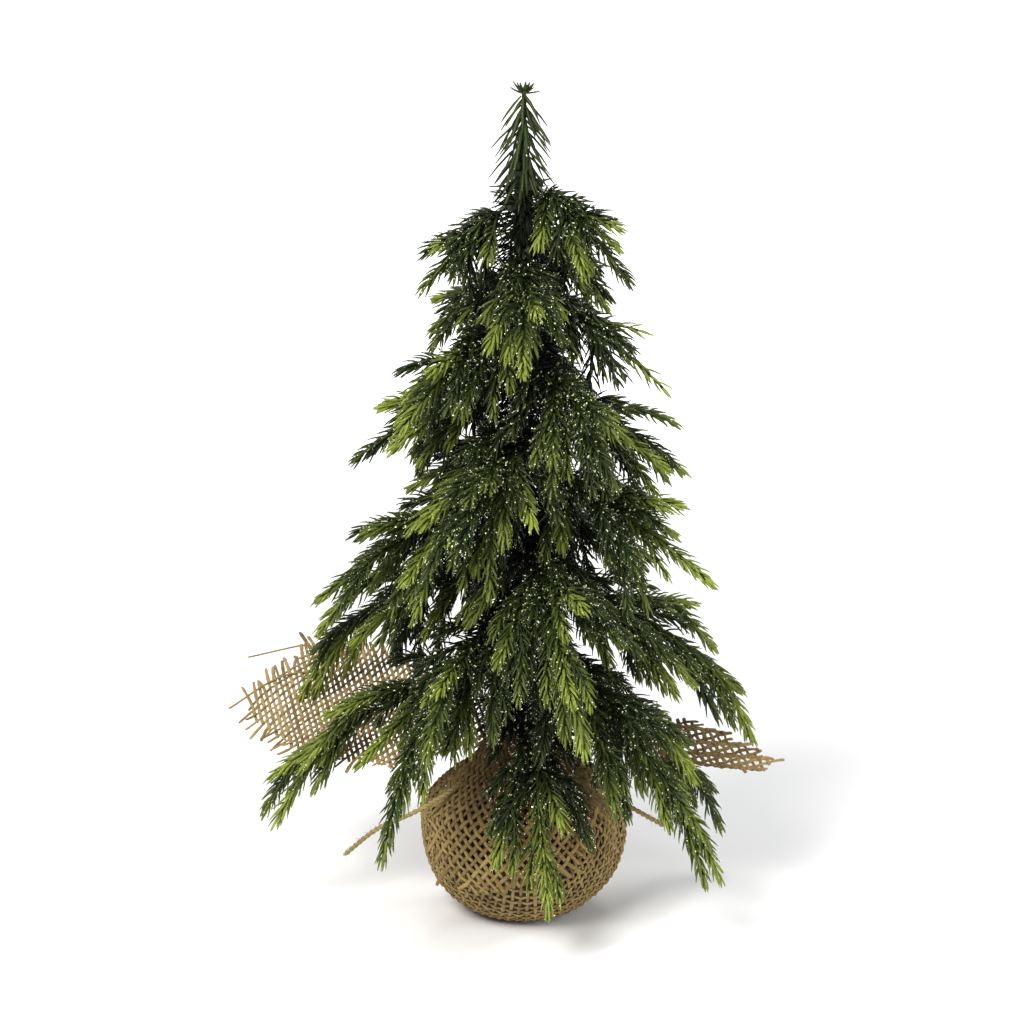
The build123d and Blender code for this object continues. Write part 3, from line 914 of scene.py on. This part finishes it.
def bag_surface(u, v, lift):
    """Cloth coordinates to space: the square cloth is drawn up round the pot from its middle."""
    distance = np.hypot(u, v)
    turn = np.arctan2(v, u)
    slack = smooth_step(34.0, 80.0, distance)
    pleat = np.sin(17.0 * turn + 1.3 * np.sin(3.0 * turn + 0.7)) + 0.5 * np.sin(29.0 * turn + 2.0)
    sag = 0.45 * np.sin(3.0 * turn + 1.0) + 0.35 * np.sin(5.0 * turn + 2.2)
    belly = smooth_step(20.0, 45.0, distance)
    push = lift + slack * pleat * 0.9 + belly * sag * (1.0 - slack)
    return BAG_PROFILE.swept(distance, turn, push)


FRONT_FOLD_AZIMUTH = math.radians(262.0)
BACK_FOLD_AZIMUTH = math.radians(85.0)
FOLD_REFERENCE_RADIUS = 38.0


def fold_surface(azimuth):
    """Surface of a folded-down corner: u runs round the bag, v down from the neck."""
    def place(u, v, lift):
        turn = azimuth + u / FOLD_REFERENCE_RADIUS
        wave = 0.5 * np.sin(u * 0.23 + v * 0.05 + 1.0) + 0.35 * np.sin(u * 0.11 - v * 0.16)
        push = wave * smooth_step(8.0, 30.0, v) - lift
        return FOLD_PROFILE.swept(v, turn, push)
    return place


FLAP_ORIGIN = np.array((0.0, 0.0, 69.0))


def flap_surface(azimuth, rise, bank, wave_height, fold_depth):
    """Surface of a standing corner: u runs outward, v across it."""
    heading, rise, bank = math.radians(azimuth), math.radians(rise), math.radians(bank)
    out = np.array((math.cos(heading) * math.cos(rise), math.sin(heading) * math.cos(rise), math.sin(rise)))
    level = np.array((-math.sin(heading), math.cos(heading), 0.0))
    side = level * math.cos(bank) + np.array((0.0, 0.0, math.sin(bank)))
    normal = unit(np.cross(out, side))

    def place(u, v, lift):
        wave = wave_height * np.sin(u * 0.07 + 0.5) * np.cos(v * 0.11 + 0.3)
        fold = fold_depth * np.sin(v * 0.75 + u * 0.02)
        gather = 0.75 if fold_depth > 0.0 else 1.0
        push = lift + wave + fold
        return (
            FLAP_ORIGIN + u[..., None] * out + (v * gather)[..., None] * side + push[..., None] * normal
        )
    return place


def inside(polygon, u, v):
    """Whether points are inside a polygon."""
    result = np.zeros(np.shape(u), bool)
    for (u1, v1), (u2, v2) in zip(polygon, polygon[1:] + polygon[:1]):
        crosses = (v1 > v) != (v2 > v)
        edge = (u2 - u1) * (v - v1) / ((v2 - v1) if v2 != v1 else 1e-9) + u1
        result ^= crosses & (u < edge)
    return result


class Cloth:
    """Plain weave over a surface: yarns along two lattice directions pass over and under.

    fray gives how far the yarns of each direction stick out past the start and the end of the
    cloth: ((low, high), (low, high)) each.
    """

    def __init__(self, surface, width, thickness, rng, fray=(NO_FRAY, NO_FRAY), shade=None):
        self.surface = surface
        self.width = width
        self.thickness = thickness
        self.rng = rng
        self.fray = fray
        self.shade = shade
        self.piece = Piece(JUTE_VALUES)

    def weave(self, polygon, first, second, extent):
        """Fills a polygon of cloth; first and second are the lattice steps in mm of cloth."""
        first, second = np.asarray(first, float), np.asarray(second, float)
        centre = np.mean(polygon, axis=0)
        for family, (step, across) in enumerate(((first, second), (second, first))):
            pitch = np.linalg.norm(step)
            spread = abs(first[0] * second[1] - first[1] * second[0]) / pitch
            lines = int(extent / spread) + 1
            reach = int(extent / pitch) + 1
            half = np.arange(-2 * reach, 2 * reach + 1)
            t = half / 2.0
            for line in range(-lines, lines + 1):
                drift = 0.10 * spread * math.sin(line * 12.9898) + 0.12 * np.sin(t * 0.7 + line * 1.7)
                aside = across / np.linalg.norm(across) * drift[:, None]
                flat = centre + np.outer(t, step) + line * across + aside
                marks = np.flatnonzero(inside(polygon, flat[:, 0], flat[:, 1]))
                for run in np.split(marks, np.flatnonzero(np.diff(marks) > 1) + 1):
                    if len(run) >= 3:
                        self.add_yarn(flat[run], half[run], line, family, step / pitch)

    def add_tail(self, points, lift, direction, low, high, at_start):
        """Frayed end of a yarn, put before its points or after them."""
        rng = self.rng
        stick = rng.uniform(low, high)
        steps = max(2, int(stick / 1.2) + 1)
        go = np.linspace(0.0, stick, steps + 1)[1:]
        aside = np.array((-direction[1], direction[0])) * rng.normal(0.0, 0.22)
        tail = direction * (-1.0 if at_start else 1.0) * go[:, None] + aside * (go ** 1.5)[:, None] * 0.35
        rise = rng.normal(0.0, 0.10) * go ** 1.4
        if at_start:
            points = np.vstack([(points[0] + tail)[::-1], points])
            return points, np.concatenate([rise[::-1] + lift[0], lift])
        return np.vstack([points, points[-1] + tail]), np.concatenate([lift, lift[-1] + rise])

    def add_yarn(self, points, half, line, family, direction):
        """One yarn of the weave: over and under in turn, with frayed ends."""
        rng = self.rng
        swing = np.where(half % 2 == 0, np.cos(math.pi * (half // 2 + line)), 0.0)
        over = swing if family == 0 else -swing
        lift = over * self.thickness * 0.55
        for end, (low, high) in enumerate(self.fray[family]):
            if high > 0.0:
                points, lift = self.add_tail(points, lift, direction, low, high, end == 0)
        space = self.surface(points[:, 0], points[:, 1], lift)
        above = self.surface(points[:, 0], points[:, 1], lift + 0.5)
        count = len(space)
        tone = rng.random()
        wide = self.width * rng.uniform(0.82, 1.15) * (1.0 + 0.12 * rng.normal(0.0, 1.0, count))
        wide = np.clip(wide, self.width * 0.6, self.width * 1.35)
        wide[[0, -1]] *= 0.8
        # painted shade of the yarn, from the cloth's shade function
        shade = self.shade(space) if self.shade else 0.0
        up = unit(above - space)
        self.piece.add_tube(space, up, wide, self.thickness * 0.5, YARN_SIDES, tone=tone, shade=shade)

    def add_thread(self, corners, radius):
        """Loose thread hanging off a flap."""
        flat = smooth_path(corners, 10)
        lift = 0.8 * np.sin(np.linspace(0.0, 5.0, len(flat)))
        add_cord(self.piece, self.surface(flat[:, 0], flat[:, 1], lift), radius, self.rng)

    def build(self, name, replaces=None):
        self.piece.build(name, [BURLAP], "trunk", "burlap", replaces)


# cloth distance from the middle of the bag to its edge at the neck
BAG_REACH = 86.0


def disc(radius, corners=60):
    """Round outline about the origin."""
    angle = np.arange(corners) * 2.0 * math.pi / corners
    return [(radius * math.cos(a), radius * math.sin(a)) for a in angle]


def bag_shade(points):
    """Painted shade: browner where the bag is tucked up under the foliage."""
    return 0.45 * smooth_step(34.0, 58.0, points[:, 2])


def bag_cloth_shade(points):
    """The bag itself gets painted shade where the front fold lies over it, as well as bag_shade's."""
    turn = np.arctan2(points[:, 1], points[:, 0]) - FRONT_FOLD_AZIMUTH
    off_middle = np.abs((turn + math.pi) % (2.0 * math.pi) - math.pi)
    covered = (1.0 - smooth_step(0.55, 0.75, off_middle)) * smooth_step(20.0, 27.0, points[:, 2])
    return np.maximum(bag_shade(points), 0.85 * covered)


def flap_shade(points):
    """Painted shade: browner toward the tree, where the foliage shades the right flap."""
    return 0.75 - 0.5 * smooth_step(50.0, 88.0, np.hypot(points[:, 0], points[:, 1]))


def build_bag():
    """The bag: plain weave drawn up round the pot."""
    cloth = Cloth(bag_surface, 0.63, 0.75, np.random.default_rng(SEED + 3), shade=bag_cloth_shade)
    cloth.weave(disc(BAG_REACH), (3.0, 0.12), (-0.15, 3.0), 90.0)
    cloth.build("burlap_bag", "burlap_wrap")


def build_folds():
    """The front and back corners, folded down over the bag."""
    rng = np.random.default_rng(SEED + 4)
    tail = ((2.0, 8.0), (2.0, 8.0))
    front = Cloth(fold_surface(FRONT_FOLD_AZIMUTH), 0.72, 0.7, rng, (tail, tail), bag_shade)
    outline = [
        (-31.0, 2.0), (-33.0, 30.0), (-29.0, 52.0), (-17.0, 61.0), (-6.0, 58.0),
        (6.0, 55.0), (20.0, 52.0), (30.0, 44.0), (31.0, 2.0),
    ]
    front.weave(outline, (1.85, 2.25), (-1.85, 2.25), 90.0)
    front.build("burlap_front_fold")
    back = Cloth(fold_surface(BACK_FOLD_AZIMUTH), 0.85, 0.7, rng, (tail, tail), bag_shade)
    outline = [(-24.0, 2.0), (-27.0, 34.0), (-10.0, 56.0), (4.0, 60.0), (22.0, 44.0), (26.0, 2.0)]
    back.weave(outline, (1.95, 2.2), (-2.05, 2.1), 90.0)
    back.build("burlap_back_fold")


def lattice_step(pitch, degrees):
    """Lattice step of a weave with its yarns turned by an angle."""
    angle = math.radians(degrees)
    return pitch * math.cos(angle), pitch * math.sin(angle)


def build_flaps():
    """The left and right corners, which stand out from the neck."""
    rng = np.random.default_rng(SEED + 5)
    fray = (((2.0, 5.0), (3.5, 7.5)), ((6.0, 11.0), (1.0, 3.5)))
    left = Cloth(flap_surface(157.0, 1.0, -26.0, 1.6, 0.0), 0.62, 0.6, rng, fray)
    outline = [
        (9.0, -5.0), (58.0, -22.0), (93.0, -24.0), (105.0, 13.0), (71.0, 33.0), (37.0, 27.0), (9.0, 5.0),
    ]
    left.weave(outline, lattice_step(2.3, 62.0), lattice_step(2.9, 124.0), 110.0)
    left.add_thread(((86.0, -20.0), (96.0, -24.5), (106.0, -21.0), (117.0, -14.0)), 0.35)
    left.add_thread(((84.0, -12.0), (96.0, -6.0), (107.0, 6.0), (113.0, 13.0)), 0.4)
    left.build("burlap_left_flap")
    fray = (((1.0, 2.0), (2.0, 5.0)), ((1.0, 3.0), (1.0, 2.5)))
    right = Cloth(flap_surface(8.0, -8.5, 25.0, 1.2, 1.1), 0.75, 0.65, rng, fray, flap_shade)
    outline = [
        (9.0, -3.0), (40.0, -9.0), (66.0, -13.0), (80.0, -17.0), (92.0, -10.0),
        (76.0, 7.0), (63.0, 15.0), (40.0, 11.0), (9.0, 5.0),
    ]
    right.weave(outline, (2.4, 0.7), (-0.9, 1.9), 110.0)
    right.build("burlap_right_flap")


CORD_UP = (0.1, 0.3, 1.0)


def smooth_path(corners, per_span):
    """Catmull-Rom curve through corners."""
    corners = np.asarray(corners, float)
    padded = np.vstack([2 * corners[0] - corners[1], corners, 2 * corners[-1] - corners[-2]])
    rows = []
    t = np.linspace(0.0, 1.0, per_span, endpoint=False)[:, None]
    for k in range(1, len(padded) - 2):
        p0, p1, p2, p3 = padded[k - 1 : k + 3]
        squared = (2 * p0 - 5 * p1 + 4 * p2 - p3) * t ** 2
        cubed = (3 * p1 - p0 - 3 * p2 + p3) * t ** 3
        rows.append(0.5 * (2 * p1 + (p2 - p0) * t + squared + cubed))
    rows.append(corners[-1:])
    return np.vstack(rows)


def add_cord(piece, points, radius, rng, sides=YARN_SIDES):
    """Plain yarn along points in space."""
    piece.add_tube(points, CORD_UP, radius, radius, sides, tone=rng.random())


NECK_STRANDS = 88


def build_neck():
    """Gathered cloth at the neck: pleated yarns side by side, up to the ruffle over the twine."""
    rng = np.random.default_rng(SEED + 6)
    piece = Piece(JUTE_VALUES)
    for strand in range(NECK_STRANDS):
        turn = 2.0 * math.pi * strand / NECK_STRANDS
        deep = 1.0 + 0.9 * math.sin(11.0 * turn + 0.5) + rng.normal(0.0, 0.25)
        corners = np.array([
            (19.0, 54.6), (14.5, 57.6), (11.4 + 0.3 * deep, 60.0),
            (10.6, 63.0), (11.0 + 0.2 * deep, 66.0), (11.0 + deep, 69.6),
        ])
        corners[:, 0] += rng.normal(0.0, 0.15, len(corners))
        lean = turn + np.linspace(0.0, rng.normal(0.0, 0.06), len(corners))
        path = turned(corners[:, 0], lean, corners[:, 1])
        add_cord(piece, smooth_path(path, 4), 0.55, rng)
    piece.build("burlap_neck", [BURLAP], "trunk", "burlap")


# ---- twine

TWINE_TURN_RADIUS = 12.8
TWINE_TURN_HEIGHTS = (61.2, 64.6)
TWINE_TURNS = 3.0
KNOT = (0.0, -15.0, 62.2)
LEFT_TAIL = (
    KNOT, (-15.0, -13.5, 57.5), (-27.0, -22.0, 51.0),
    (-39.0, -24.0, 44.5), (-52.0, -20.0, 37.0), (-64.0, -17.0, 26.0),
)
RIGHT_TAIL = (
    KNOT, (15.0, -13.5, 57.5), (27.0, -21.0, 51.5), (38.0, -22.0, 46.0), (50.0, -19.0, 38.0),
)
PLY_RADIUS = 0.55
PLY_OFFSET = 0.42
PLY_LAY = 4.2


def add_twine(piece, points, rng):
    """Two plies twisted round each other along a path, with loose fibres."""
    length = run_lengths(points)
    fine = np.arange(0.0, length[-1], 0.45)
    line = sample_rows(fine, length, points)
    tangent, side, normal = path_frames(line, CORD_UP)
    for ply in range(2):
        turn = 2.0 * math.pi * fine / PLY_LAY + ply * math.pi
        add_cord(piece, line + tilted(normal, side, turn) * PLY_OFFSET, PLY_RADIUS, rng)
    fibres = int(length[-1] * 1.6)
    for index in rng.integers(1, len(line) - 1, fibres):
        out = unit(rng.normal(0.0, 1.0, 3) + tangent[index] * 1.2)
        start = line[index] + out * 0.5
        reach = rng.uniform(0.8, 2.4)
        curl = rng.normal(0.0, 0.5, 3)
        t = np.linspace(0.0, 1.0, 4)[:, None]
        add_cord(piece, start + out * reach * t + curl * t * t, 0.045, rng, 3)


def build_twine():
    """Turns round the neck, two tails and the knot."""
    rng = np.random.default_rng(SEED + 7)
    piece = Piece(JUTE_VALUES)
    turn = np.linspace(0.0, TWINE_TURNS * 2.0 * math.pi, 160) - math.pi / 2.0
    height = np.linspace(*TWINE_TURN_HEIGHTS, len(turn))
    add_twine(piece, turned(TWINE_TURN_RADIUS, turn, height), rng)
    add_twine(piece, smooth_path(LEFT_TAIL, 12), rng)
    add_twine(piece, smooth_path(RIGHT_TAIL, 12), rng)
    angle = np.linspace(0.0, 4.0 * math.pi, 60)
    knot = np.stack([
        1.5 * np.cos(angle),
        0.8 * np.sin(2.0 * angle + 0.4) - 0.3,
        1.3 * np.sin(angle) * np.cos(angle / 2.0),
    ], axis=1) + np.array(KNOT)
    add_twine(piece, knot, rng)
    piece.build("twine_strands", [JUTE], "trunk", "jute", "twine")


build_bag()
build_folds()
build_flaps()
build_neck()
build_twine()

# ---- carried-over CAD pieces

WIRE_COAT = plain_material(
    "green_wire_coat", (0.014, 0.022, 0.010), (0.040, 0.055, 0.024), 500.0, 0.5, 0.3,
)
CAD_LOOKS = {
    "pot": plain_material("pot_plastic", (0.020, 0.011, 0.006), (0.048, 0.026, 0.014), 120.0, 0.55, 0.2),
    "base_weight": plain_material("cast_plaster", (0.46, 0.43, 0.38), (0.66, 0.63, 0.57), 160.0, 0.9, 0.6),
    "trunk_rod": plain_material(
        "drawn_steel", (0.30, 0.30, 0.31), (0.46, 0.46, 0.47), 90.0, 0.4, 0.15, 1.0, (8.0, 8.0, 0.4),
    ),
    "trunk_tape": tape_material(),
    "leader_wire": WIRE_COAT,
}
for node_name, node_object in frame["nodes"].items():
    look = WIRE_COAT if node_name.startswith("branch_wire_") else CAD_LOOKS.get(node_name)
    if look:
        node_object.data.materials.clear()
        node_object.data.materials.append(look)

# ---- stage

TARGET = (-0.0039, 0.0, 0.1485)
CAMERA_DISTANCE = 1.25
CAMERA_ELEVATION = math.radians(15.0)
FRAME_WIDTH = 0.362
SENSOR_WIDTH = 36.0
WORLD_LIGHT = 0.32
FLOOR_HALF_WIDTH = 6.0
# distances from the tree between which the floor fades to white in the camera
FLOOR_FADE = (0.35, 0.95)


def aim(thing, target):
    """Points an object's -Z axis at a place."""
    direction = Vector(target) - thing.location
    thing.rotation_euler = direction.to_track_quat("-Z", "Y").to_euler()


def add_area_light(name, location, size, power, tint):
    """Square light that faces the tree."""
    data = bpy.data.lights.new(name, "AREA")
    data.shape = "SQUARE"
    data.size = size
    data.energy = power
    data.color = tint
    light = bpy.data.objects.new(name, data)
    light.location = location
    bpy.context.scene.collection.objects.link(light)
    aim(light, TARGET)
    return light


def build_floor():
    """Pale floor that fades to white with distance, as far as the camera sees."""
    mesh = bpy.data.meshes.new("floor")
    half = FLOOR_HALF_WIDTH
    corners = [(-half, -half, 0), (half, -half, 0), (half, half, 0), (-half, half, 0)]
    mesh.from_pydata(corners, [], [(0, 1, 2, 3)])
    floor = bpy.data.objects.new("floor", mesh)
    bpy.context.scene.collection.objects.link(floor)
    m = Nodes("pale_floor")
    cloud = m.noise(m.position(), 3.0, 2.0)
    m.set(Base_Color=m.ramp(cloud, ((0.3, (0.90, 0.90, 0.90)), (0.7, (0.93, 0.93, 0.93)))), Roughness=0.9)
    reach = m.node("ShaderNodeVectorMath", {0: m.position()}, operation="LENGTH").outputs["Value"]
    near, far = FLOOR_FADE
    limits = {"Value": reach, "From Min": near, "From Max": far}
    fade = m.node("ShaderNodeMapRange", limits, interpolation_type="SMOOTHSTEP").outputs["Result"]
    seen = m.node("ShaderNodeLightPath").outputs["Is Camera Ray"]
    m.set(Emission_Color=(1.0, 1.0, 1.0), Emission_Strength=m.math("MULTIPLY", fade, seen))
    mesh.materials.append(m.material)


def light_world():
    """White surroundings: full white to the camera, dimmer as a light on the tree."""
    world = bpy.data.worlds.new("studio")
    bpy.context.scene.world = world
    world.use_nodes = True
    tree = world.node_tree
    background = tree.nodes["Background"]
    background.inputs["Color"].default_value = (1.0, 1.0, 1.0, 1.0)
    path = tree.nodes.new("ShaderNodeLightPath")
    strength = tree.nodes.new("ShaderNodeMapRange")
    strength.inputs["To Min"].default_value = WORLD_LIGHT
    strength.inputs["To Max"].default_value = 1.0
    tree.links.new(path.outputs["Is Camera Ray"], strength.inputs["Value"])
    tree.links.new(strength.outputs["Result"], background.inputs["Strength"])


def place_camera():
    """Camera in front of the tree, looking slightly down at it."""
    data = bpy.data.cameras.new("camera")
    data.sensor_width = SENSOR_WIDTH
    data.lens = SENSOR_WIDTH * CAMERA_DISTANCE / FRAME_WIDTH
    data.clip_end = 50.0
    camera = bpy.data.objects.new("camera", data)
    back = Vector((0.0, -math.cos(CAMERA_ELEVATION), math.sin(CAMERA_ELEVATION)))
    camera.location = Vector(TARGET) + CAMERA_DISTANCE * back
    bpy.context.scene.collection.objects.link(camera)
    aim(camera, TARGET)
    bpy.context.scene.camera = camera


def build_stage():
    """Floor, surrounding light, three lamps and the camera."""
    build_floor()
    light_world()
    key = add_area_light("key_light", (-0.8, -1.2, 1.5), 0.8, 47.0, (1.0, 0.98, 0.95))
    fill = add_area_light("fill_light", (1.3, -0.9, 0.8), 1.0, 14.0, (0.95, 0.98, 1.0))
    rim = add_area_light("top_light", (0.3, 0.9, 1.6), 1.0, 16.0, (1.0, 1.0, 1.0))
    place_camera()
    bpy.context.scene.view_settings.view_transform = "Standard"


build_stage()
